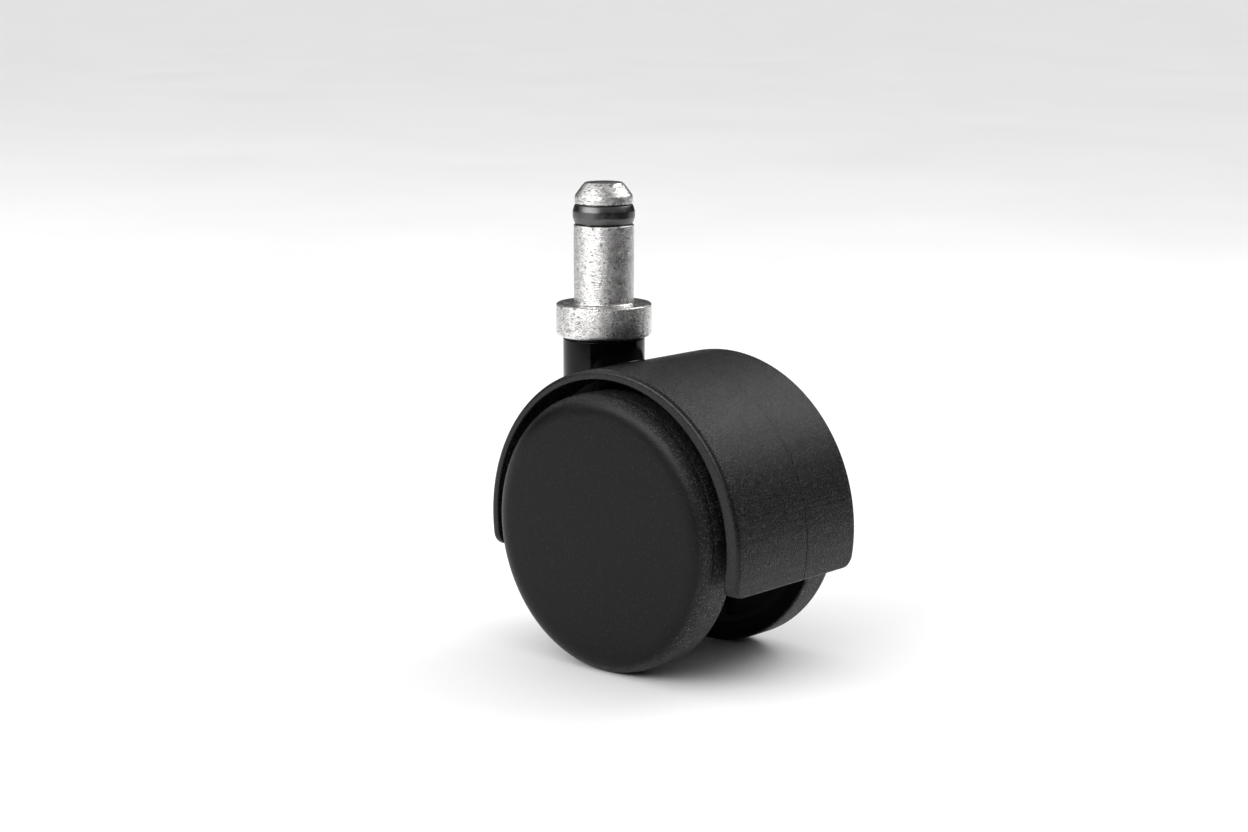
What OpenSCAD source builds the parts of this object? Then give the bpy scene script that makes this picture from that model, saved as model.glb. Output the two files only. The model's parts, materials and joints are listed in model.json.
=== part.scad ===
// Hooded twin-wheel furniture caster with a grip-ring stem.
// Frame: the origin is the centre of the collar's top face, on the swivel axis. +Z runs up the stem,
// +X points from the stem to the trailing axle, and the axle lies along Y. Left is -Y.

/* [Wheels] */
// Diameter of a wheel over its tread
wheel_d = 50; // [49:0.1:50.4]
// Distance from the centre plane to a wheel's outer face
face_y = 19.4; // [19:0.1:21]
// Radius of the rounded edge of the wheel face
face_edge_r = 3; // [2:0.1:3.4]
// Width of the straight band of the tread
tread_w = 4.9; // [4:0.1:5.2]
// Radial thickness of the tread ring
tread_t = 3; // [2.4:0.1:3.2]
// Wall of the cover disc
cover_t = 1.6; // [1.2:0.1:1.8]
// Number of ribs on the inner side of a wheel
wheel_ribs = 9; // [5:1:12]

/* [Housing] */
// Outer radius of the hood
hood_r = 29.5; // [28.8:0.1:31]
// Distance from the centre plane to the hood's rim
hood_y = 16.4; // [15.6:0.1:17]
// Radial clearance between the tread and the hood
hood_gap = 2.2; // [1.5:0.1:2.4]
// How far the hood's arc is set behind the axle
hood_back = 0.6; // [0:0.1:1]
// How far the hood's arc is set below the axle
hood_down = 0.5; // [0:0.1:0.8]
// How far the rear lip reaches below the axle
rear_lip = 7.2; // [5:0.1:8]
// How far the front lip reaches below the axle
front_lip = 6.7; // [5:0.1:8]
// Radius of the hood's outer edge
hood_edge_r = 0.8; // [0.5:0.1:1]
// Radius of the corners where a lip meets the rim
lip_corner_r = 2.2; // [1:0.1:3]
// Diameter of the neck
neck_d = 15; // [14:0.1:15]
// Thickness of the centre web
web_t = 3.2; // [2:0.1:4]
// Diameter of the axle boss
boss_d = 12.8; // [12:0.1:13]

/* [Stem] */
// Distance from the swivel axis back to the axle
trail = 15.7; // [15.5:0.1:17]
// Distance from the collar's top face down to the axle
axle_drop = 37.8; // [37.6:0.1:40]
// Diameter of the pin that enters the socket
pin_d = 11; // [10.8:0.05:11]
// Length of the pin above the collar
pin_h = 22; // [21:0.5:24]
// Diameter of the collar
collar_d = 17.5; // [16:0.1:20]
// Height of the collar
collar_h = 6; // [5.8:0.1:6]
// Diameter of the journal that turns in the neck
journal_d = 8; // [7.8:0.05:8]
// Length of the journal below the collar
journal_h = 24; // [23.8:0.1:24]

/* [Axle] */
// Diameter of the axle
axle_d = 6; // [5.8:0.05:6]
// Half of the axle's length
axle_half = 16.9; // [16.7:0.1:17.2]

/* [Hidden] */
$fn = 96;
eps = 0.01;
run_gap = 0.05;
seat_gap = 0.03;
wheel_r = wheel_d / 2;
rim_r = wheel_r - tread_t;
axle_r = axle_d / 2;
pin_r = pin_d / 2;
journal_r = journal_d / 2;
neck_r = neck_d / 2;
bay_r = wheel_r + hood_gap;

// Stations along a wheel's axis, measured outwards from the centre plane
tread_out = face_y - face_edge_r;
tread_in = tread_out - tread_w;
boss_end = 3.9;
washer_in = boss_end + 0.1;
washer_t = 0.8;
hub_in = boss_end + 1.1;
hub_out = 15.4;
disc_in = 12.6;
disc_out = 14.4;
rim_in = tread_in + 0.35;
rim_out = tread_out - 0.12;
clip_in = hub_out + 0.2;
clip_t = 0.7;

// Radii inside a wheel
bush_r = 4.2;
hub_r = 6.6;
rim_inner_r = rim_r - 1.6;
key_depth = 0.5;
key_in = 13.2;
key_out = 14.8;
rib_t = 1.4;
rib_root = 9.4;

// Heights along the stem, measured from the collar's top face
neck_top = -collar_h - 0.2;
counterbore_r = 6.45;
counterbore_h = 1.5;
bush_flange_t = 0.8;
bush_flange_r = 6.3;
swivel_bore_r = 5.3;
swivel_bush_r = 5.28;
upper_bush_h = 8;
lower_bush_top = -17.4;
lower_bush_h = 8;
stem_tip = -collar_h - journal_h;
stem_groove_z = -26.6;
stem_groove_h = 0.9;
stem_groove_r = 3.35;
disc_t = 1.05;
bore_floor = stem_tip - 0.1 - disc_t - 0.05;
tube_end = bore_floor - 1.2;
grip_z = 14.4;
grip_h = 3.8;
grip_groove_r = 4.6;

// ---- placing ----

// Local z becomes the outward direction of the left wheel, with the axle's centre as the origin
module on_axle() {
    translate([trail, 0, -axle_drop]) rotate([90, 0, 0]) children();
}

module on_right() {
    mirror([0, 1, 0]) on_axle() children();
}

module ring(r_out, r_in, z0, h) {
    translate([0, 0, z0]) difference() {
        cylinder(r = r_out, h = h);
        translate([0, 0, -1]) cylinder(r = r_in, h = h + 2);
    }
}

// A rectangle from [x0, y0] to [x1, y1]
module box2(x0, y0, x1, y1) {
    translate([x0, y0]) square([x1 - x0, y1 - y0]);
}

// A rectangle whose two corners at x1 are rounded
module nosed2(x0, y0, x1, y1, r) {
    box2(x0, y0, x1 - r, y1);
    box2(x0, y0 + r, x1, y1 - r);
    translate([x1 - r, y0 + r]) circle(r = r);
    translate([x1 - r, y1 - r]) circle(r = r);
}

// ---- stem ----

module pin_body() {
    rotate_extrude() polygon([
        [0, -eps], [pin_r, -eps], [pin_r, grip_z], [grip_groove_r, grip_z],
        [grip_groove_r, grip_z + grip_h], [pin_r - 0.2, grip_z + grip_h],
        [pin_r - 0.2, pin_h - 2.4], [3.9, pin_h - 0.5], [3.4, pin_h], [0, pin_h],
    ]);
}

module collar() {
    rotate_extrude() {
        nosed2(0, -collar_h, collar_d / 2, -collar_h / 3, 0.9);
        box2(0, -collar_h / 2, collar_d / 2, -0.3);
        polygon([[0, -0.3 - eps], [collar_d / 2, -0.3 - eps], [collar_d / 2, -0.3],
                 [collar_d / 2 - 0.3, 0], [0, 0]]);
    }
}

module journal() {
    tip_sphere_r = 9;
    intersection() {
        translate([0, 0, stem_tip]) cylinder(r = journal_r, h = journal_h + eps);
        union() {
            translate([0, 0, stem_tip + tip_sphere_r]) sphere(r = tip_sphere_r);
            translate([0, 0, stem_tip + 4]) cylinder(r = journal_r + 1, h = journal_h);
        }
    }
}

module stem() {
    color("silver") difference() {
        union() {
            pin_body();
            collar();
            journal();
        }
        ring(journal_r + 1, stem_groove_r, stem_groove_z, stem_groove_h);
    }
}

module grip_ring() {
    slot_w = 1.6;
    r_in = grip_groove_r + 0.12;
    r_edge = 5.3;
    r_mid = 5.66;
    z0 = grip_z + 0.2;
    z1 = grip_z + grip_h - 0.2;
    color("dimgray") difference() {
        rotate_extrude() polygon([
            [r_in, z0], [r_edge, z0], [r_mid, (2 * z0 + z1) / 3],
            [r_mid, (z0 + 2 * z1) / 3], [r_edge, z1], [r_in, z1],
        ]);
        translate([-slot_w / 2, 0, z0 - 1]) cube([slot_w, 10, grip_h + 2]);
    }
}

// A flat ring with a mouth on its +x side, wide enough to push over a groove
module open_ring(r_out, r_in, mouth, z0, h) {
    difference() {
        ring(r_out, r_in, z0, h);
        translate([0, -mouth / 2, z0 - 1]) cube([r_out + 1, mouth, h + 2]);
    }
}

module stem_clip() {
    color("dimgray")
        open_ring(4.75, stem_groove_r + 0.1, 4.2, stem_groove_z + 0.1, stem_groove_h - 0.2);
}

// ---- housing ----

// The drum that the hood is cut from, with rounded edges
module hood_drum() {
    translate([trail + hood_back, 0, -axle_drop - hood_down]) rotate([90, 0, 0]) rotate_extrude($fn = 180)
        nosed2(0, -hood_y, hood_r, hood_y, hood_edge_r);
}

// Section of the space above a lip, seen along X: bottom corners rounded
module lip_section(lip) {
    z0 = -axle_drop - lip;
    r = lip_corner_r;
    box2(-hood_y - 1, z0 + r, hood_y + 1, 0);
    box2(-hood_y + r, z0, hood_y - r, -axle_drop);
    for (side = [-1, 1]) translate([side * (hood_y - r), z0 + r]) circle(r = r);
}

module above_lips() {
    reach = 40;
    translate([trail, 0, 0]) rotate([90, 0, 90]) linear_extrude(reach) lip_section(rear_lip);
    translate([trail - reach, 0, 0]) rotate([90, 0, 90]) linear_extrude(reach + eps)
        lip_section(front_lip);
}

module hood_shell() {
    difference() {
        intersection() {
            hood_drum();
            above_lips();
        }
        on_axle() cylinder(r = bay_r, h = 2 * hood_y + 2, center = true, $fn = 180);
    }
}

// Centre web, its stiffening ribs and the axle boss
module web() {
    web_floor = -2.5;
    rib_h = 7;
    on_axle() {
        linear_extrude(web_t, center = true) intersection() {
            translate([hood_back, -hood_down]) circle(r = hood_r - 0.8, $fn = 180);
            box2(-hood_r - 5, web_floor, hood_r + 5, hood_r + 5);
        }
        for (a = [8, 40, 172])
            rotate(a) translate([bay_r / 2, 0, 0]) cube([bay_r + 1, rib_t, rib_h], center = true);
        cylinder(d = boss_d, h = 2 * boss_end, center = true);
    }
}

module swivel_tube() {
    translate([0, 0, tube_end]) rotate_extrude()
        nosed2(0, 0, neck_r, neck_top - tube_end, 0.3);
}

module housing() {
    color("#26262a") difference() {
        union() {
            hood_shell();
            web();
            swivel_tube();
        }
        translate([0, 0, bore_floor]) cylinder(r = swivel_bore_r, h = neck_top - bore_floor + 1);
        translate([0, 0, neck_top - counterbore_h]) cylinder(r = counterbore_r, h = counterbore_h + 1);
        on_axle() cylinder(r = axle_r + 0.2, h = 4 * boss_end, center = true);
    }
}

module thrust_washer() {
    t = 0.7;
    z0 = -collar_h - run_gap - t;
    color("ivory") ring(6.2, journal_r + 0.15, z0, t);
}

module upper_swivel_bush() {
    flange_z = neck_top - counterbore_h + run_gap;
    color("ivory") difference() {
        union() {
            translate([0, 0, flange_z]) cylinder(r = bush_flange_r, h = bush_flange_t);
            translate([0, 0, flange_z - upper_bush_h])
                cylinder(r = swivel_bush_r, h = upper_bush_h + eps);
        }
        translate([0, 0, flange_z - upper_bush_h - 1])
            cylinder(r = journal_r + run_gap, h = upper_bush_h + 4);
    }
}

module lower_swivel_bush() {
    color("ivory")
        ring(swivel_bush_r, journal_r + run_gap, lower_bush_top - lower_bush_h, lower_bush_h);
}

module wear_disc() {
    color("gray") translate([0, 0, stem_tip - 0.1 - disc_t]) cylinder(r = 5, h = disc_t);
}

module axle() {
    knurl_half = 3.4;
    knurl_teeth = 24;
    chamfer = 0.4;
    groove_r = 2.45;
    color("silver") on_axle() {
        difference() {
            rotate_extrude() polygon([
                [0, -axle_half], [axle_r - chamfer, -axle_half], [axle_r, -axle_half + chamfer],
                [axle_r, axle_half - chamfer], [axle_r - chamfer, axle_half], [0, axle_half],
            ]);
            ring(axle_r + 1, groove_r, clip_in - 0.1, clip_t + 0.2);
            ring(axle_r + 1, groove_r, -clip_in - clip_t - 0.1, clip_t + 0.2);
        }
        for (i = [0:knurl_teeth - 1]) rotate(i * 360 / knurl_teeth)
            translate([axle_r - 0.1, -0.15, -knurl_half]) cube([0.22, 0.3, 2 * knurl_half]);
    }
}

module washer() {
    color("ivory") ring(5.4, axle_r + 0.15, washer_in, washer_t);
}

module axle_clip() {
    color("dimgray") difference() {
        open_ring(4.9, 2.5, 4, clip_in, clip_t);
        for (a = [110, 180, 250]) rotate(a) translate([3.3, 0, clip_in - 1])
            cylinder(r = 0.7, h = clip_t + 2);
    }
}

module left_washer() {
    on_axle() washer();
}

module right_washer() {
    on_right() washer();
}

module left_axle_clip() {
    on_axle() axle_clip();
}

module right_axle_clip() {
    on_right() axle_clip();
}

// ---- wheels ----

// Hub, disc and rim of a wheel, with ribs on the inner side that stay clear of the swivel tube
module wheel_core() {
    color("#1c1c1f") {
        rotate_extrude() polygon([
            [bush_r, hub_in], [hub_r, hub_in], [hub_r, disc_in], [rim_inner_r, disc_in],
            [rim_inner_r, rim_in], [rim_r, rim_in], [rim_r, key_in], [rim_r - key_depth, key_in],
            [rim_r - key_depth, key_out], [rim_r, key_out], [rim_r, rim_out], [rim_inner_r, rim_out],
            [rim_inner_r, disc_out], [hub_r, disc_out], [hub_r, hub_out], [bush_r, hub_out],
        ]);
        for (i = [0:wheel_ribs - 1]) rotate(i * 360 / wheel_ribs) rotate([90, 0, 0])
            linear_extrude(rib_t, center = true) polygon([
                [hub_r - 0.6, disc_in + 0.4], [hub_r - 0.6, rib_root],
                [rim_inner_r + 0.4, rim_in + 0.2], [rim_inner_r + 0.4, disc_in + 0.4],
            ]);
    }
}

// Tread ring, keyed into the rim's groove, with its inner edge rounded
module wheel_tread() {
    edge = 0.5;
    inner_r = rim_r + seat_gap;
    color("#3a3a3c") rotate_extrude($fn = 180) {
        box2(inner_r, tread_in, wheel_r - edge, tread_out);
        box2(inner_r, tread_in + edge, wheel_r, tread_out);
        translate([wheel_r - edge, tread_in + edge]) circle(r = edge);
        box2(inner_r - key_depth, key_in + seat_gap, inner_r + eps, key_out - seat_gap);
    }
}

// Cover disc with a rounded edge that runs into the tread, hollow inside, with a skirt in the rim
module wheel_cover() {
    flat_r = wheel_r - face_edge_r;
    skirt_r = rim_inner_r - 0.15;
    skirt_t = 1.1;
    color("#222225") rotate_extrude($fn = 180) {
        difference() {
            union() {
                box2(0, tread_out, flat_r, face_y);
                intersection() {
                    translate([flat_r, tread_out]) circle(r = face_edge_r);
                    box2(flat_r, tread_out, wheel_r, face_y);
                }
            }
            box2(-1, tread_out - 1, flat_r, face_y - cover_t);
            translate([flat_r, tread_out]) circle(r = face_edge_r - cover_t);
        }
        box2(skirt_r - skirt_t, disc_out + 0.2, skirt_r, face_y - cover_t + eps);
    }
}

module wheel_bush() {
    color("ivory") ring(bush_r - 0.02, axle_r + run_gap, hub_in, hub_out - hub_in);
}

module left_wheel() {
    on_axle() wheel_core();
}

module left_tread() {
    on_axle() wheel_tread();
}

module left_cover() {
    on_axle() wheel_cover();
}

module left_wheel_bush() {
    on_axle() wheel_bush();
}

module right_wheel() {
    on_right() wheel_core();
}

module right_tread() {
    on_right() wheel_tread();
}

module right_cover() {
    on_right() wheel_cover();
}

module right_wheel_bush() {
    on_right() wheel_bush();
}

stem();
grip_ring();
stem_clip();
housing();
thrust_washer();
upper_swivel_bush();
lower_swivel_bush();
wear_disc();
axle();
left_washer();
right_washer();
left_axle_clip();
right_axle_clip();
left_wheel();
left_tread();
left_cover();
left_wheel_bush();
right_wheel();
right_tread();
right_cover();
right_wheel_bush();
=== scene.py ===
"""Hooded twin-wheel furniture caster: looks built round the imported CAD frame. All lengths in metres."""
import json
import math

import bmesh
import bpy
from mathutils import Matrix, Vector


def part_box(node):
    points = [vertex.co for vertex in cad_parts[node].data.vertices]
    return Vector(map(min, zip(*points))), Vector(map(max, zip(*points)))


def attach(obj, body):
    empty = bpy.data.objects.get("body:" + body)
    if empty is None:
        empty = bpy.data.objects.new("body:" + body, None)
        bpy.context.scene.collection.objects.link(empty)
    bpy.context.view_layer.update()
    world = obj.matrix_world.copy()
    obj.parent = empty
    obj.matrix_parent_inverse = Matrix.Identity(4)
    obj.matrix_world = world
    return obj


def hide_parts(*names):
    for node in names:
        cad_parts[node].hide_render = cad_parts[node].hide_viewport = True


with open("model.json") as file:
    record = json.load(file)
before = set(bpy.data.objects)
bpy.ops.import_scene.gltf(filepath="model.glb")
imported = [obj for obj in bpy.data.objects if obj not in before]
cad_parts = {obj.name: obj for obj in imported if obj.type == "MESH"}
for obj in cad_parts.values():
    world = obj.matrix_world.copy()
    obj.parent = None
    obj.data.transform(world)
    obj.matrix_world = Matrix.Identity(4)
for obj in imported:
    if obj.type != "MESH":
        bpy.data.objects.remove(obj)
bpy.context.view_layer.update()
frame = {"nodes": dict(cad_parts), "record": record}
MM = 0.001

# ---- places and sizes, from the frame's boxes where these give them ----

tread_lo, tread_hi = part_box("left_tread")
cover_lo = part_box("left_cover")[0]
core_lo, core_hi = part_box("left_wheel")
stem_lo, stem_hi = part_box("stem")
ring_lo, ring_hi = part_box("grip_ring")
house_lo, house_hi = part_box("housing")
wear_disc_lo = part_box("wear_disc")[0]

AXLE_X = (tread_lo.x + tread_hi.x) / 2
AXLE_Z = (tread_lo.z + tread_hi.z) / 2
WHEEL_R = (tread_hi.x - tread_lo.x) / 2
FACE_Y = -cover_lo.y
TREAD_OUT = -tread_lo.y
TREAD_IN = -tread_hi.y
FACE_EDGE_R = FACE_Y - TREAD_OUT
RIM_R = (core_hi.x - core_lo.x) / 2

HOOD_R = (house_hi.x - house_lo.x) / 2
HOOD_X = (house_hi.x + house_lo.x) / 2
HOOD_Y = house_hi.y
HOOD_DOWN = 0.5 * MM
HOOD_Z = AXLE_Z - HOOD_DOWN
HOOD_GAP = 2.2 * MM
BAY_R = WHEEL_R + HOOD_GAP
REAR_LIP_Z = house_lo.z
FRONT_LIP_Z = house_lo.z + 0.5 * MM
HOOD_EDGE_R = 0.8 * MM
LIP_CORNER_R = 2.2 * MM
PARTING_Y = 2.3 * MM

NECK_TOP = house_hi.z
NECK_R = 7.5 * MM
TUBE_END = wear_disc_lo.z - 1.25 * MM
SWIVEL_BORE_R = 5.3 * MM
COUNTERBORE_R = 6.45 * MM
COUNTERBORE_H = 1.5 * MM

COLLAR_R = (stem_hi.x - stem_lo.x) / 2
COLLAR_H = 6 * MM
PIN_R = 5.5 * MM
PIN_TOP = stem_hi.z
STEM_TIP = stem_lo.z
JOURNAL_R = 4 * MM

AXLE_R = 3 * MM
BOSS_R = 6.4 * MM
BOSS_HALF = 3.9 * MM
WEB_HALF = 1.6 * MM
FLOOR_Z = AXLE_Z - WHEEL_R

SEAM = 0.12 * MM
WHEEL_SEGMENTS = 256
TOOL_SEGMENTS = 96


# ---- mesh building ----

def arc(cx, cy, r, start, end, steps):
    """Points on a circle, from start to end degrees, both ends included."""
    points = []
    for i in range(steps + 1):
        a = math.radians(start + (end - start) * i / steps)
        points.append((cx + r * math.cos(a), cy + r * math.sin(a)))
    return points


def rounded(corners, steps=5):
    """A closed outline from (x, y, radius) corners, each corner replaced by an arc of that radius."""
    outline = []
    count = len(corners)
    for i, (x, y, r) in enumerate(corners):
        here = Vector((x, y))
        if r <= 0:
            outline.append((x, y))
            continue
        before = Vector(corners[i - 1][:2]) - here
        after = Vector(corners[(i + 1) % count][:2]) - here
        half = before.angle(after) / 2
        reach = r / math.tan(half)
        centre = here + (before.normalized() + after.normalized()).normalized() * (r / math.sin(half))
        first = here + before.normalized() * reach - centre
        last = here + after.normalized() * reach - centre
        turn = first.angle_signed(last)
        for k in range(steps + 1):
            a = -turn * k / steps
            c, s = math.cos(a), math.sin(a)
            outline.append((centre.x + first.x * c - first.y * s, centre.y + first.x * s + first.y * c))
    return outline


def mesh_object(name, verts, faces, sharp=35):
    mesh = bpy.data.meshes.new(name)
    mesh.from_pydata([tuple(v) for v in verts], [], faces)
    bm = bmesh.new()
    bm.from_mesh(mesh)
    bmesh.ops.remove_doubles(bm, verts=bm.verts, dist=1e-7)
    bmesh.ops.recalc_face_normals(bm, faces=bm.faces)
    bm.to_mesh(mesh)
    bm.free()
    obj = bpy.data.objects.new(name, mesh)
    bpy.context.scene.collection.objects.link(obj)
    smooth(obj, sharp)
    return obj


def smooth(obj, sharp=35):
    obj.data.shade_smooth()
    obj.data.set_sharp_from_angle(angle=math.radians(sharp))


def about_axle(side):
    """Places (radius, turn, station) about the axle; side is -1 for the left wheel, 1 for the right."""
    def place(r, turn, w):
        return (AXLE_X + r * math.cos(turn), side * w, AXLE_Z + r * math.sin(turn))
    return place


def about_stem(r, turn, z):
    return (r * math.cos(turn), r * math.sin(turn), z)


def lathe(name, outline, place, segments, start=0.0, sweep=2 * math.pi, sharp=35):
    """A closed outline of (radius, station) turned about an axis; less than a full turn gets end caps."""
    full = sweep > 2 * math.pi - 1e-6
    rings = segments if full else segments + 1
    n = len(outline)
    verts = []
    for j in range(rings):
        turn = start + sweep * j / segments
        verts += [place(r, turn, w) for r, w in outline]
    faces = []
    for j in range(segments):
        a, b = j * n, ((j + 1) % rings) * n
        for i in range(n):
            k = (i + 1) % n
            if outline[i][0] < 1e-9 and outline[k][0] < 1e-9:
                continue
            faces.append((a + i, a + k, b + k, b + i))
    if not full:
        faces.append(tuple(range(n)))
        faces.append(tuple((rings - 1) * n + i for i in range(n)))
    return mesh_object(name, verts, faces, sharp)


def boolean(target, tool, operation):
    """Joins a tool mesh to the target, or cuts it away, and removes the tool."""
    step = target.modifiers.new("step", "BOOLEAN")
    step.operation = operation
    step.solver = "EXACT"
    step.object = tool
    bpy.context.view_layer.update()
    made = bpy.data.meshes.new_from_object(target.evaluated_get(bpy.context.evaluated_depsgraph_get()))
    target.modifiers.remove(step)
    old = target.data
    target.data = made
    bpy.data.meshes.remove(old)
    bpy.data.objects.remove(tool)


def prism(name, outline, low, high, place):
    """A closed outline swept straight from low to high; place turns (x, y, height) into a point."""
    n = len(outline)
    verts = [place(x, y, h) for h in (low, high) for x, y in outline]
    faces = [(i, (i + 1) % n, n + (i + 1) % n, n + i) for i in range(n)]
    faces.append(tuple(range(n)))
    faces.append(tuple(range(n, 2 * n)))
    return mesh_object(name, verts, faces)


# ---- housing ----

def lip_stations():
    """Heights above a lip where its rounding needs a ring: close together at the edge."""
    return [LIP_CORNER_R * (1 - math.cos(math.radians(a))) for a in range(0, 91, 6)]


def set_back(radius, height):
    """How far a rounding of that radius stands back from its side, at a height above its end."""
    s = min(height, radius)
    return radius - math.sqrt(max(0.0, radius**2 - (radius - s) ** 2))


def hood_ring(outer_turn, inner_turn, above_lip):
    """One closed section of the hood: along the outer face, round the rims, back along the inner face."""
    outer = Vector((HOOD_X + HOOD_R * math.cos(outer_turn), 0, HOOD_Z + HOOD_R * math.sin(outer_turn)))
    inner = Vector((AXLE_X + BAY_R * math.cos(inner_turn), 0, AXLE_Z + BAY_R * math.sin(inner_turn)))
    wall = (outer - inner).length
    inward = (inner - outer) / wall
    lip_edge = 0.45 * MM
    inner_edge = 0.35 * MM
    half = HOOD_Y - set_back(LIP_CORNER_R, above_lip)
    skin = set_back(lip_edge, above_lip)
    rim, sunk = half - HOOD_EDGE_R, skin + HOOD_EDGE_R
    corner, deep = half - inner_edge, wall - skin - inner_edge
    stations = outer_stations(rim)
    outline = [(y, skin + parting_groove(y)) for y in stations]
    outline += [(rim + p, sunk - q) for p, q in arc(0, 0, HOOD_EDGE_R, 80, 0, 8)]
    outline += [(corner + p, deep - q) for p, q in arc(0, 0, inner_edge, 0, -90, 4)]
    outline += [(y, wall - skin) for y in reversed(stations) if abs(y) < rim - 1e-9]
    outline += [(-corner - p, deep - q) for p, q in arc(0, 0, inner_edge, -90, 0, 4)]
    outline += [(-rim - p, sunk - q) for p, q in arc(0, 0, HOOD_EDGE_R, 0, 80, 8)]
    return [outer + inward * depth + Vector((0, y, 0)) for y, depth in outline]


def outer_stations(reach):
    """Stations across the hood from -reach to reach, with extra ones on the mould's parting line."""
    coarse = [-1, -0.9, -0.75, -0.6, -0.45, -0.3, -0.15, 0]
    fine = [PARTING_Y + d * MM for d in (-0.3, -0.12, -0.06, 0, 0.06, 0.12, 0.3)]
    return [c * reach for c in coarse] + fine + [c * reach for c in (0.3, 0.45, 0.6, 0.75, 0.9, 1)]


def parting_groove(y):
    """Depth below the outer face: a fine groove along the mould's parting line."""
    depth, half_width = 0.07 * MM, 0.07 * MM
    return depth if abs(y - PARTING_Y) < half_width else 0.0


def turns_at(height):
    """Turns at which the hood's outer and inner faces reach a height, on the rear side."""
    return math.asin((height - HOOD_Z) / HOOD_R), math.asin((height - AXLE_Z) / BAY_R)


def hood_shell():
    """The hood's curved wall, from its rear lip over the top to its front lip."""
    steps = 168
    rear = [(*turns_at(REAR_LIP_Z + s), s) for s in lip_stations()]
    front = [(*(math.pi - turn for turn in turns_at(FRONT_LIP_Z + s)), s) for s in lip_stations()]
    rings = list(rear)
    for i in range(1, steps):
        t = i / steps
        outer_turn = rear[-1][0] + (front[-1][0] - rear[-1][0]) * t
        inner_turn = rear[-1][1] + (front[-1][1] - rear[-1][1]) * t
        rings.append((outer_turn, inner_turn, LIP_CORNER_R))
    rings += reversed(front)
    verts = []
    for ring in rings:
        verts += hood_ring(*ring)
    n = len(verts) // len(rings)
    faces = []
    for j in range(len(rings) - 1):
        for i in range(n):
            k = (i + 1) % n
            faces.append((j * n + i, j * n + k, (j + 1) * n + k, (j + 1) * n + i))
    faces.append(tuple(range(n)))
    faces.append(tuple((len(rings) - 1) * n + i for i in range(n)))
    return mesh_object("hood", verts, faces)


def hood_top(x):
    """Height of the hood's outer face above a point."""
    return HOOD_Z + math.sqrt(HOOD_R**2 - (x - HOOD_X) ** 2)


def neck_tube():
    """The neck and swivel tube, with a small fillet where it leaves the hood's outer face."""
    fillet = 0.45 * MM
    tuck = 0.5 * MM
    edge = 0.3 * MM
    seat = NECK_TOP - COUNTERBORE_H
    segments = 144
    verts = []
    for j in range(segments):
        turn = 2 * math.pi * j / segments
        outline = [(SWIVEL_BORE_R, wear_disc_lo.z - 0.05 * MM), (SWIVEL_BORE_R, seat),
                   (COUNTERBORE_R, seat), (COUNTERBORE_R, NECK_TOP)]
        outline += arc(NECK_R - edge, NECK_TOP - edge, edge, 90, 0, 5)
        for i in range(9):
            a = math.radians(90 * i / 8)
            r = NECK_R + fillet * (1 - math.cos(a))
            outline.append((r, hood_top(r * math.cos(turn)) + fillet * (1 - math.sin(a)) - 0.02 * MM))
        r = NECK_R + fillet
        outline.append((r, hood_top(r * math.cos(turn)) - tuck))
        outline.append((NECK_R, hood_top(NECK_R * math.cos(turn)) - tuck - 0.1 * MM))
        outline += arc(NECK_R - edge, TUBE_END + edge, edge, 0, -90, 5)
        verts += [about_stem(r, turn, z) for r, z in outline]
    n = len(verts) // segments
    faces = []
    for j in range(segments):
        a, b = j * n, (j + 1) % segments * n
        faces += [(a + i, a + i + 1, b + i + 1, b + i) for i in range(n - 1)]
    faces.append(tuple(j * n for j in range(segments)))
    faces.append(tuple(j * n + n - 1 for j in range(segments)))
    return mesh_object("neck", verts, faces)


def in_plane(x, y, h):
    """Places (x, y) from the axle in the wheels' plane, at a height h across it."""
    return (AXLE_X + x, h, AXLE_Z + y)


def web():
    """Centre web with its ribs and the axle boss."""
    floor = -2.5 * MM
    reach = BAY_R + 0.4 * MM
    edge = math.degrees(math.asin(-floor / reach))
    plate = prism("web", arc(0, 0, reach, -edge, 180 + edge, 96), -WEB_HALF, WEB_HALF, in_plane)
    rib_half = 3.5 * MM
    rib_t = 0.7 * MM
    for degrees in (8, 40, 172):
        c, s = math.cos(math.radians(degrees)), math.sin(math.radians(degrees))

        def along(x, y, h):
            return in_plane(x * c - y * s, x * s + y * c, h)
        outline = rounded([(0, -rib_t, 0), (reach, -rib_t, 0), (reach, rib_t, 0), (0, rib_t, 0)])
        boolean(plate, prism("rib", outline, -rib_half, rib_half, along), "UNION")
    boss = rounded([(0, -BOSS_HALF, 0), (BOSS_R, -BOSS_HALF, 0.3 * MM), (BOSS_R, BOSS_HALF, 0.3 * MM),
                    (0, BOSS_HALF, 0)])
    boolean(plate, lathe("boss", boss, about_axle(1), TOOL_SEGMENTS), "UNION")
    return plate


def housing():
    """Hood, web and boss joined, cleared for the swivel tube and the axle, with the tube joined in."""
    well_r, well_end = SWIVEL_BORE_R + 0.6 * MM, TUBE_END + 1.2 * MM
    well = [(0, well_end), (well_r, well_end), (well_r, 0), (0, 0)]
    hole_r, hole_half = AXLE_R + 0.2 * MM, 2 * BOSS_HALF
    hole = [(0, -hole_half), (hole_r, -hole_half), (hole_r, hole_half), (0, hole_half)]
    body = hood_shell()
    inside = web()
    boolean(inside, lathe("well", well, about_stem, TOOL_SEGMENTS), "DIFFERENCE")
    boolean(inside, lathe("hole", hole, about_axle(1), TOOL_SEGMENTS), "DIFFERENCE")
    boolean(body, inside, "UNION")
    boolean(body, lathe("well", well, about_stem, TOOL_SEGMENTS), "DIFFERENCE")
    boolean(body, neck_tube(), "UNION")
    smooth(body, 32)
    return body


# ---- wheels ----

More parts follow.
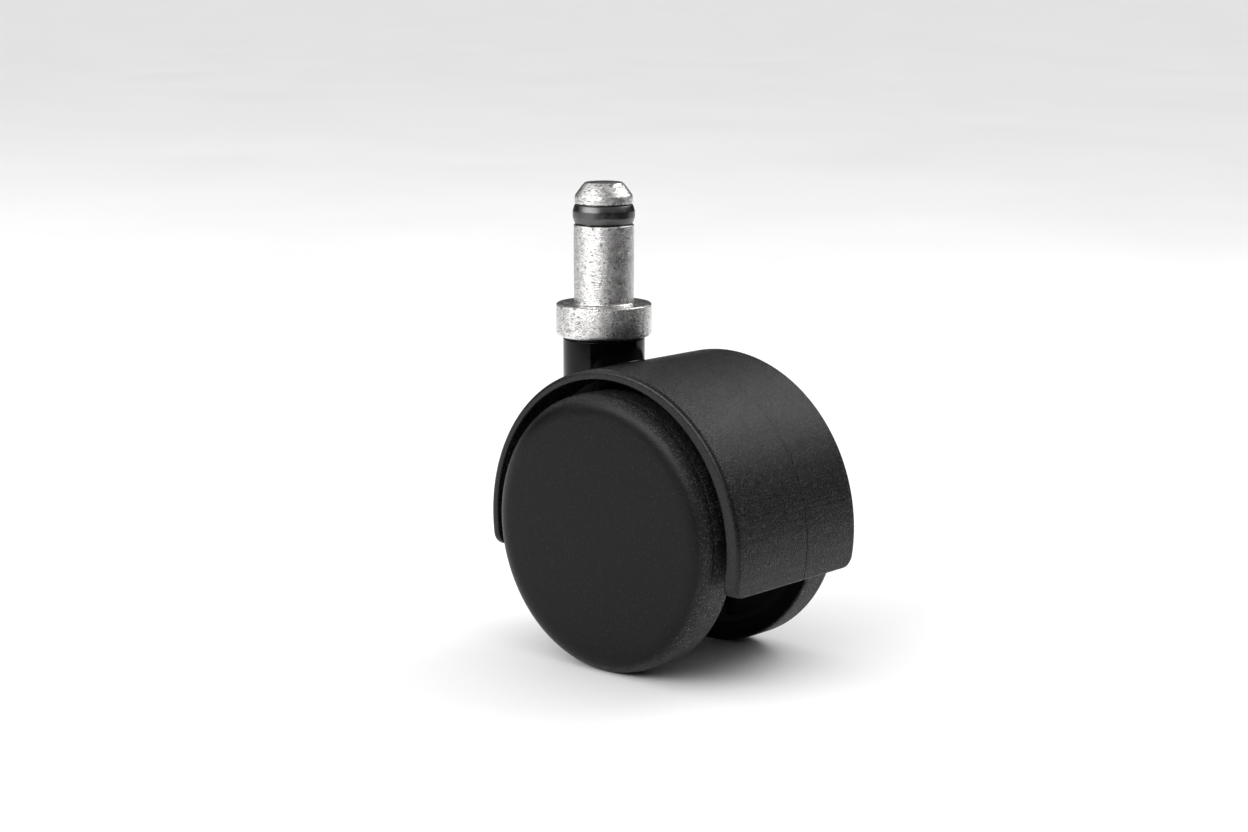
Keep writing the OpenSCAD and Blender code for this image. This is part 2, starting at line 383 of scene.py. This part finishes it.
def soft_edge():
    """Section of the face's edge: a quarter of a superellipse, so that it leaves the flat smoothly."""
    reach, power, steps = 4.4 * MM, 2.35, 28
    points = []
    for i in range(1, steps):
        t = math.pi / 2 * i / steps
        points.append((WHEEL_R - reach + reach * math.sin(t) ** (2 / power),
                       TREAD_OUT + FACE_EDGE_R * math.cos(t) ** (2 / power)))
    return points


def cover(name, side):
    wall = 1.6 * MM
    flat = WHEEL_R - FACE_EDGE_R
    skirt_r = RIM_R - 1.75 * MM
    skirt_bore = skirt_r - 1.1 * MM
    skirt_in = TREAD_OUT - 1.8 * MM
    under = FACE_Y - wall
    outline = [(0, FACE_Y), (flat * 0.4, FACE_Y), (flat * 0.7, FACE_Y), (flat * 0.85, FACE_Y)]
    outline += soft_edge()
    outline += arc(WHEEL_R - SEAM, TREAD_OUT + SEAM, SEAM, 0, -90, 3)
    outline += arc(flat, TREAD_OUT, FACE_EDGE_R - wall, 0, 90, 8)
    outline += [(skirt_r, under), (skirt_r, skirt_in), (skirt_bore, skirt_in), (skirt_bore, under)]
    outline.append((0, under))
    return lathe(name, outline, about_axle(side), WHEEL_SEGMENTS)


def tread(name, side):
    edge = 0.5 * MM
    key_in, key_out = TREAD_IN + 1.7 * MM, TREAD_IN + 3.3 * MM
    key_r = RIM_R - 0.5 * MM
    outline = rounded([
        (RIM_R, TREAD_IN, 0.2 * MM), (WHEEL_R, TREAD_IN, edge), (WHEEL_R, TREAD_OUT, SEAM),
        (RIM_R, TREAD_OUT, SEAM), (RIM_R, key_out, 0), (key_r, key_out, 0), (key_r, key_in, 0),
        (RIM_R, key_in, 0)])
    return lathe(name, outline, about_axle(side), WHEEL_SEGMENTS)


# ---- stem ----

def stem():
    edge = 0.25 * MM
    groove_z, groove_top = ring_lo.z - 0.2 * MM, ring_hi.z + 0.2 * MM
    groove_r = 4.6 * MM
    clip_z, clip_top, clip_r = -26.6 * MM, -25.7 * MM, 3.35 * MM
    corners = [
        (0, PIN_TOP, 0), (3.4 * MM, PIN_TOP, 0.3 * MM), (3.9 * MM, PIN_TOP - 0.5 * MM, 0.5 * MM),
        (PIN_R - 0.2 * MM, PIN_TOP - 2.4 * MM, 1.2 * MM), (PIN_R - 0.2 * MM, groove_top, 0.15 * MM),
        (groove_r, groove_top, 0.1 * MM), (groove_r, groove_z, 0.1 * MM), (PIN_R, groove_z, edge),
        (PIN_R, 0, 0.4 * MM), (COLLAR_R, 0, 0.35 * MM), (COLLAR_R, -COLLAR_H, 0.9 * MM),
        (JOURNAL_R, -COLLAR_H, 0.1 * MM), (JOURNAL_R, clip_top, 0.1 * MM), (clip_r, clip_top, 0.05 * MM),
        (clip_r, clip_z, 0.05 * MM), (JOURNAL_R, clip_z, 0.1 * MM),
        (JOURNAL_R, STEM_TIP + 0.9 * MM, 0.3 * MM), (0.6 * MM, STEM_TIP, 0.3 * MM), (0, STEM_TIP, 0)]
    return lathe("swivel_stem", rounded(corners, 6), about_stem, 144, sharp=45)


def grip_ring():
    r_in, r_mid = 4.72 * MM, (ring_hi.x - ring_lo.x) / 2
    r_edge = r_mid - 0.36 * MM
    low, high = ring_lo.z, ring_hi.z
    third = (high - low) / 3
    gap = math.asin(0.8 * MM / r_mid)
    corners = [(r_in, low, 0.1 * MM), (r_edge, low, 0.25 * MM), (r_mid, low + third, 0.9 * MM),
               (r_mid, high - third, 0.9 * MM), (r_edge, high, 0.25 * MM), (r_in, high, 0.1 * MM)]
    return lathe("split_grip_ring", rounded(corners, 4), about_stem, 96, math.pi / 2 + gap,
                 2 * math.pi - 2 * gap, sharp=50)


# ---- materials ----

MAP_ENDS = ("From Min", "From Max", "To Min", "To Max")
SPECULAR = "Specular IOR Level"


class Nodes:
    """A material's node tree, with short calls for the nodes that the finishes share."""

    def __init__(self, name):
        self.material = bpy.data.materials.new(name)
        self.material.use_nodes = True
        self.tree = self.material.node_tree
        self.shader = self.tree.nodes["Principled BSDF"]
        self.place = self.add("ShaderNodeTexCoord").outputs["Object"]

    def add(self, kind, **settings):
        node = self.tree.nodes.new(kind)
        for key, value in settings.items():
            setattr(node, key, value)
        return node

    def link(self, source, target):
        self.tree.links.new(source, target)

    def vector(self, operation, source, numbers):
        """A vector combined with three fixed numbers."""
        node = self.add("ShaderNodeVectorMath", operation=operation)
        self.link(source, node.inputs[0])
        node.inputs[1].default_value = numbers
        return node.outputs[0]

    def length(self, source):
        node = self.add("ShaderNodeVectorMath", operation="LENGTH")
        self.link(source, node.inputs[0])
        return node.outputs["Value"]

    def stretched(self, x, y, z):
        """The object's coordinates, with each axis scaled."""
        return self.vector("MULTIPLY", self.place, (x, y, z))

    def sparks(self, size, share):
        """Grains of about that size: 1 on a random share of them."""
        cells = self.cells(size)
        pick = self.add("ShaderNodeSeparateColor")
        self.link(cells.outputs["Color"], pick.inputs[0])
        chosen = self.span(pick.outputs[0], 1 - share, 1 - 0.4 * share, 0, 1)
        return self.math("MULTIPLY", chosen, self.span(cells.outputs["Distance"], 0.25, 0.6, 1, 0))

    def noise(self, size, detail=2.0, rough=0.5, place=None):
        """Noise whose blobs are about size across."""
        node = self.add("ShaderNodeTexNoise")
        node.inputs["Scale"].default_value = 1 / size
        node.inputs["Detail"].default_value = detail
        node.inputs["Roughness"].default_value = rough
        self.link(place or self.place, node.inputs["Vector"])
        return node.outputs["Fac"]

    def cells(self, size):
        node = self.add("ShaderNodeTexVoronoi")
        node.inputs["Scale"].default_value = 1 / size
        self.link(self.place, node.inputs["Vector"])
        return node

    def span(self, value, low, high, to_low, to_high):
        """Maps low..high to to_low..to_high, clamped."""
        node = self.add("ShaderNodeMapRange")
        for key, number in zip(MAP_ENDS, (low, high, to_low, to_high)):
            node.inputs[key].default_value = number
        self.link(value, node.inputs["Value"])
        return node.outputs["Result"]

    def fade(self, mask, to_low, to_high):
        """Maps a mask's 0..1 to to_low..to_high."""
        return self.span(mask, 0, 1, to_low, to_high)

    def spread(self, noise, to_low, to_high):
        """Maps the range that a noise mostly covers to to_low..to_high."""
        return self.span(noise, 0.3, 0.7, to_low, to_high)

    def math(self, operation, a, b):
        node = self.add("ShaderNodeMath", operation=operation)
        for socket, value in ((node.inputs[0], a), (node.inputs[1], b)):
            if isinstance(value, (int, float)):
                socket.default_value = value
            else:
                self.link(value, socket)
        return node.outputs[0]

    def blend(self, share, low, high):
        """A colour between two, by share."""
        node = self.add("ShaderNodeMix", data_type="RGBA")
        self.link(share, node.inputs["Factor"])
        for socket, colour in ((node.inputs[6], low), (node.inputs[7], high)):
            if isinstance(colour, tuple):
                socket.default_value = (*colour, 1.0)
            else:
                self.link(colour, socket)
        return node.outputs[2]

    def bump(self, height, depth):
        """Relief of that depth."""
        node = self.add("ShaderNodeBump")
        node.inputs["Distance"].default_value = depth
        self.link(height, node.inputs["Height"])
        return node.outputs["Normal"]

    def edges(self):
        """1 on outward edges, 0 elsewhere."""
        return self.span(self.add("ShaderNodeNewGeometry").outputs["Pointiness"], 0.52, 0.6, 0, 1)

    def from_line(self, x, z):
        """Distance from the line through (x, z) along Y."""
        shifted = self.vector("SUBTRACT", self.place, (x, 0, z))
        return self.length(self.vector("MULTIPLY", shifted, (1, 0, 1)))

    def from_centre_plane(self):
        """Distance from the plane midway between the wheels."""
        parts = self.add("ShaderNodeSeparateXYZ")
        self.link(self.place, parts.inputs[0])
        return self.math("ABSOLUTE", parts.outputs["Y"], 0)

    def from_stem(self):
        """Distance from the stem's axis."""
        return self.length(self.stretched(1, 1, 0))

    def set(self, colour, rough, normal, **constants):
        """Links the three maps, sets the constants on their own sockets and gives the material."""
        for socket, value in (("Base Color", colour), ("Roughness", rough), ("Normal", normal)):
            self.link(value, self.shader.inputs[socket])
        for key, value in constants.items():
            self.shader.inputs[key.replace("_", " ")].default_value = value
        return self.material


def grey(level, warm=0.0):
    """A grey, with that share more red and less blue."""
    return (level * (1 + warm), level, level * (1 - warm))


def hood_plastic():
    """Black nylon with a fine eroded grain; the rims are plain, and the neck is smooth and deep black."""
    n = Nodes("hood_nylon")
    rim = n.span(n.from_centre_plane(), HOOD_Y - 0.7 * MM, HOOD_Y - 0.3 * MM, 0, 1)
    neck = n.math("MULTIPLY", n.span(n.from_stem(), NECK_R + 0.2 * MM, NECK_R + 0.45 * MM, 1, 0),
                  n.span(n.from_line(HOOD_X, HOOD_Z), HOOD_R - 0.1 * MM, HOOD_R + 0.1 * MM, 0, 1))
    grain = n.noise(0.34 * MM, 3, 0.7)
    mottle = n.noise(2.2 * MM, 3, 0.6)
    tone = n.blend(mottle, grey(0.0045, -0.02), grey(0.0065, -0.02))
    tone = n.blend(n.span(grain, 0.52, 0.7, 0, 0.5), tone, grey(0.035))
    tone = n.blend(n.sparks(0.22 * MM, 0.3), tone, grey(0.1))
    tone = n.blend(n.math("MULTIPLY", rim, 0.8), tone, grey(0.012))
    tone = n.blend(neck, tone, grey(0.002))
    rough = n.math("ADD", n.spread(grain, 0.18, 0.38), n.spread(mottle, 0, 0.03))
    rough = n.math("SUBTRACT", rough, n.math("MULTIPLY", neck, 0.18))
    level = n.math("MULTIPLY", grain, n.fade(neck, 1, 0.03))
    level = n.math("MULTIPLY", level, n.fade(rim, 1, 0.3))
    n.link(n.fade(neck, 0.42, 0.25), n.shader.inputs[SPECULAR])
    return n.set(tone, rough, n.bump(level, 0.15 * MM))


def cover_plastic():
    """Satin black face that takes on the tread's grain and dust towards its edge."""
    n = Nodes("cover_nylon")
    radius = n.from_line(AXLE_X, AXLE_Z)
    grain = n.noise(0.3 * MM, 3, 0.65)
    mottle = n.noise(5 * MM, 3)
    near_edge = n.span(radius, WHEEL_R * 0.93, WHEEL_R * 0.995, 0, 1)
    tone = n.blend(mottle, grey(0.003), grey(0.006))
    tone = n.blend(n.sparks(0.24 * MM, 0.12), tone, grey(0.022))
    tone = n.blend(n.math("MULTIPLY", near_edge, 0.62), tone, tread_tone(n))
    tone = n.blend(dust(n, 0.4 * MM, 0.64, 0.72), tone, grey(0.1))
    tone = n.blend(n.math("MULTIPLY", dust(n, 0.3 * MM, 0.48, 0.6), near_edge), tone, grey(0.25))
    rough = n.math("ADD", n.spread(mottle, 0.3, 0.36), n.math("MULTIPLY", near_edge, 0.1))
    depth = n.math("MULTIPLY", grain, n.fade(near_edge, 0.4, 1))
    n.link(n.fade(near_edge, 0.27, 0.42), n.shader.inputs[SPECULAR])
    return n.set(tone, rough, n.bump(depth, 0.1 * MM))


def dust(n, size, low, high):
    """Fine pale specks, in drifts that thin out."""
    picked = n.span(n.cells(size).outputs["Distance"], 0.1, 0.2, 1, 0)
    return n.math("MULTIPLY", picked, n.span(n.noise(1.7 * MM, 3, 0.6), low, high, 0, 0.8))


def tread_tone(n):
    """Grainy dark grey."""
    tone = n.blend(n.noise(2.5 * MM, 2), grey(0.01), grey(0.024))
    tone = n.blend(n.span(n.noise(0.36 * MM, 3, 0.7), 0.5, 0.7, 0, 0.6), tone, grey(0.07))
    return n.blend(n.sparks(0.24 * MM, 0.35), tone, grey(0.2))


def tread_plastic():
    """Grainy running surface with light specks of floor dust; the ring's sides carry a near-black painted
    shade for the shade under the hood.
    """
    n = Nodes("tread_grain")
    grain = n.noise(0.4 * MM, 3, 0.7)
    running = n.span(n.from_line(AXLE_X, AXLE_Z), WHEEL_R - 0.45 * MM, WHEEL_R - 0.15 * MM, 0, 1)
    tone = n.blend(dust(n, 0.3 * MM, 0.4, 0.54), tread_tone(n), grey(0.55))
    # painted shade: off the running surface the ring's sides are painted near black, standing in for the
    # shade that falls on them under the hood
    tone = n.blend(running, grey(0.004), tone)
    rough = n.spread(grain, 0.4, 0.6)
    depth = n.math("MULTIPLY", grain, n.fade(running, 0.3, 1))
    n.link(n.fade(running, 0.12, 0.45), n.shader.inputs[SPECULAR])
    return n.set(tone, rough, n.bump(depth, 0.2 * MM))


def inner_plastic():
    """Plain matt black moulding of the wheel cores."""
    n = Nodes("wheel_nylon")
    grain = n.noise(0.4 * MM, 2)
    mottle = n.noise(4 * MM, 3)
    tone = n.blend(mottle, grey(0.01), grey(0.016))
    tone = n.blend(n.math("MULTIPLY", n.edges(), 0.2), tone, grey(0.01))
    rough = n.spread(mottle, 0.5, 0.65)
    return n.set(tone, rough, n.bump(grain, 0.03 * MM), Specular_IOR_Level=0.18)


def acetal():
    """Off-white bearing plastic."""
    n = Nodes("acetal")
    grain = n.noise(0.3 * MM, 2)
    mottle = n.noise(2 * MM, 3)
    tone = n.blend(mottle, (0.62, 0.6, 0.53), (0.72, 0.7, 0.62))
    rough = n.spread(mottle, 0.34, 0.46)
    return n.set(tone, rough, n.bump(grain, 0.01 * MM), Specular_IOR_Level=0.5)


def zinc():
    """Zinc plate: bright, with fine dark pits drawn out along the turning."""
    n = Nodes("zinc_plate")
    pits = n.noise(0.6 * MM, 4, 0.8, n.stretched(1, 1, 2.5))
    patches = n.noise(1.8 * MM, 3, 0.6)
    tone = n.blend(n.span(patches, 0.35, 0.65, 0, 1), grey(0.68, 0.015), grey(0.88, 0.01))
    tone = n.blend(n.span(pits, 0.54, 0.58, 0, 0.9), tone, grey(0.06, 0.03))
    rough = n.math("ADD", n.spread(patches, 0.12, 0.22), n.span(pits, 0.5, 0.7, 0, 0.25))
    return n.set(tone, rough, n.bump(pits, 0.1 * MM), Metallic=1.0)


def steel(name, dark, light, rough_low, rough_high):
    """Ground or oiled steel with fine scratches."""
    n = Nodes(name)
    scratches = n.noise(0.25 * MM, 4, 0.7)
    patches = n.noise(1.5 * MM, 2)
    tone = n.blend(patches, grey(dark), grey(light))
    tone = n.blend(n.math("MULTIPLY", n.edges(), 0.5), tone, grey(min(1.0, light * 1.6)))
    rough = n.spread(patches, rough_low, rough_high)
    return n.set(tone, rough, n.bump(scratches, 0.015 * MM), Metallic=1.0)


def floor_paper():
    """Pale matt paper."""
    n = Nodes("floor_paper")
    mottle = n.noise(120 * MM, 3)
    tone = n.blend(mottle, grey(0.80), grey(0.83))
    rough = n.spread(mottle, 0.55, 0.65)
    return n.set(tone, rough, n.bump(n.noise(1.2 * MM, 3), 0.03 * MM), Specular_IOR_Level=0.3)


def flag_cloth():
    """Dull black cloth for the cards that shape the reflections."""
    n = Nodes("flag_cloth")
    weave = n.noise(3 * MM, 2)
    tone = n.blend(weave, grey(0.004), grey(0.008))
    return n.set(tone, n.spread(weave, 0.8, 0.95), n.bump(weave, 0.2 * MM), Specular_IOR_Level=0.1)


finishes = {
    "hood_nylon": hood_plastic(),
    "cover_nylon": cover_plastic(),
    "tread_grain": tread_plastic(),
    "wheel_nylon": inner_plastic(),
    "acetal": acetal(),
    "zinc_plate": zinc(),
    "spring_steel": steel("spring_steel", 0.1, 0.18, 0.3, 0.42),
    "hard_steel": steel("hard_steel", 0.42, 0.56, 0.2, 0.32),
}


def dress(piece, finish):
    piece.data.materials.clear()
    piece.data.materials.append(finishes[finish])


def add_piece(piece, finish, body, *nodes):
    """Gives a new piece its finish and its body, and hides the CAD nodes that it stands for."""
    dress(piece, finish)
    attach(piece, body)
    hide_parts(*nodes)


def dress_cad():
    """Gives the CAD nodes that stay their finish and, by modifiers, softly broken edges."""
    slots = {row["node"]: row["material_slot"] for row in frame["record"]["subparts"]}
    for name, node in frame["nodes"].items():
        if node.hide_render:
            continue
        dress(node, slots[name])
        weld = node.modifiers.new("weld", "WELD")
        weld.merge_threshold = 1e-6
        edges = node.modifiers.new("edges", "BEVEL")
        edges.width = 0.08 * MM
        edges.segments = 2
        edges.limit_method = "ANGLE"
        edges.angle_limit = math.radians(40)


# ---- camera, light and floor ----

# Azimuths and elevations are in degrees, seen from the axle: azimuth 0 is at -Y and 90 at +X.
CAMERA_AZIMUTH, CAMERA_ELEVATION = 42.14, 10.66
CAMERA_DISTANCE = 437 * MM
CAMERA_ACROSS, CAMERA_ABOVE = -7.98 * MM, 18.37 * MM
CAMERA_LENS = 69.54

# name, azimuth, elevation, distance, width, height, watts
SOFTBOXES = (
    ("side", 285, 46, 1.2, 0.9, 0.9, 1.0),
    ("back", 160, 44, 0.6, 0.45, 0.2, 1.1),
    ("front", 345, 28, 1.2, 1.3, 0.5, 9.0),
)

CEILING_SPREAD = 125
CEILING_STRENGTH = 1.35

# name, azimuth, distance, width, height
FLAGS = (
    ("right_flag", 84, 0.24, 0.36, 0.1),
    ("front_flag", 27, 0.27, 0.27, 0.055),
    ("side_flag", 113, 0.15, 0.22, 0.085),
)

# Strength over the sine of the elevation, from and to, as two ramps that are multiplied.
SKY_RAMPS = ((0.2, 0.62, 0.05, 0.55), (0.75, 1.0, 1.0, 0.6))
FLOOR_REACH = 12


def bearing(azimuth, elevation):
    """The direction from the axle at that azimuth and elevation."""
    a, e = math.radians(azimuth), math.radians(elevation)
    return Vector((math.sin(a) * math.cos(e), -math.cos(a) * math.cos(e), math.sin(e)))


def stand(name, data, location, back):
    """Puts a camera or lamp at a location, looking against the direction back."""
    thing = bpy.data.objects.new(name, data)
    bpy.context.scene.collection.objects.link(thing)
    thing.location = location
    thing.rotation_mode = "QUATERNION"
    thing.rotation_quaternion = (-back).to_track_quat("-Z", "Y")
    return thing


def add_camera():
    back = bearing(CAMERA_AZIMUTH, CAMERA_ELEVATION)
    right = Vector((0, 0, 1)).cross(back).normalized()
    up = back.cross(right)
    data = bpy.data.cameras.new("camera")
    data.sensor_width = 36
    data.lens = CAMERA_LENS
    data.clip_start = 0.01
    axle = Vector((AXLE_X, 0, AXLE_Z))
    location = axle + back * CAMERA_DISTANCE + right * CAMERA_ACROSS + up * CAMERA_ABOVE
    bpy.context.scene.camera = stand("camera", data, location, back)


def add_softbox(name, azimuth, elevation, distance, width, height, watts):
    """A soft area light aimed at the caster."""
    back = bearing(azimuth, elevation)
    data = bpy.data.lights.new(name, "AREA")
    data.shape = "RECTANGLE"
    data.size = width
    data.size_y = height
    data.energy = watts
    stand(name, data, Vector((AXLE_X, 0, AXLE_Z)) + back * distance, back)


def add_stage():
    corners = [(x * FLOOR_REACH, y * FLOOR_REACH, FLOOR_Z) for x, y in ((-1, -1), (1, -1), (1, 1), (-1, 1))]
    floor = mesh_object("floor", corners, [(0, 1, 2, 3)])
    floor.data.materials.append(floor_paper())
    add_sky()
    bpy.context.scene.view_settings.view_transform = "Standard"
    bpy.context.scene.view_settings.look = "Medium High Contrast"
    for softbox in SOFTBOXES:
        add_softbox(*softbox)
    add_ceiling(floor)
    cloth = flag_cloth()
    for flag in FLAGS:
        add_flag(cloth, *flag)


def add_ceiling(floor):
    """A broad light from above that is linked to the floor alone, so it doesn't light the caster."""
    data = bpy.data.lights.new("ceiling", "SUN")
    data.angle = math.radians(CEILING_SPREAD)
    data.energy = CEILING_STRENGTH
    lamp = bpy.data.objects.new("ceiling", data)
    bpy.context.scene.collection.objects.link(lamp)
    lit = bpy.data.collections.new("lit_by_ceiling")
    lit.objects.link(floor)
    lamp.light_linking.receiver_collection = lit


def add_flag(cloth, name, azimuth, distance, width, height):
    """A black card standing on the floor, hidden from the camera, shadows and diffuse light."""
    a = math.radians(azimuth)
    foot = Vector((AXLE_X + distance * math.sin(a), -distance * math.cos(a), FLOOR_Z))
    side = Vector((math.cos(a), math.sin(a), 0)) * width / 2
    up = Vector((0, 0, height))
    corners = [foot - side, foot + side, foot + side + up, foot - side + up]
    card = mesh_object(name, corners, [(0, 1, 2, 3)])
    card.visible_camera = False
    card.visible_shadow = False
    card.visible_diffuse = False
    card.data.materials.append(cloth)


def add_sky():
    """A light tent: dim near the horizon, brightest from 38 to 49 degrees up."""
    world = bpy.data.worlds.new("studio")
    world.use_nodes = True
    nodes, links = world.node_tree.nodes, world.node_tree.links
    direction = nodes.new("ShaderNodeTexCoord")
    parts = nodes.new("ShaderNodeSeparateXYZ")
    links.new(direction.outputs["Generated"], parts.inputs[0])
    mixed = nodes.new("ShaderNodeMath")
    mixed.operation = "MULTIPLY"
    for i, numbers in enumerate(SKY_RAMPS):
        span = nodes.new("ShaderNodeMapRange")
        span.interpolation_type = "SMOOTHSTEP"
        for key, number in zip(MAP_ENDS, numbers):
            span.inputs[key].default_value = number
        links.new(parts.outputs["Z"], span.inputs["Value"])
        links.new(span.outputs["Result"], mixed.inputs[i])
    links.new(mixed.outputs["Value"], nodes["Background"].inputs["Strength"])
    nodes["Background"].inputs["Color"].default_value = (1, 1, 1, 1)
    bpy.context.scene.world = world


# ---- build ----

add_camera()
add_stage()
add_piece(housing(), "hood_nylon", "housing", "housing")
for which, turn_side in (("left", -1), ("right", 1)):
    face = cover(which + "_face_cover", turn_side)
    add_piece(face, "cover_nylon", which + "_wheel", which + "_cover")
    add_piece(tread(which + "_tread_ring", turn_side), "tread_grain", which + "_wheel", which + "_tread")
add_piece(stem(), "zinc_plate", "stem", "stem")
add_piece(grip_ring(), "spring_steel", "stem", "grip_ring")
dress_cad()
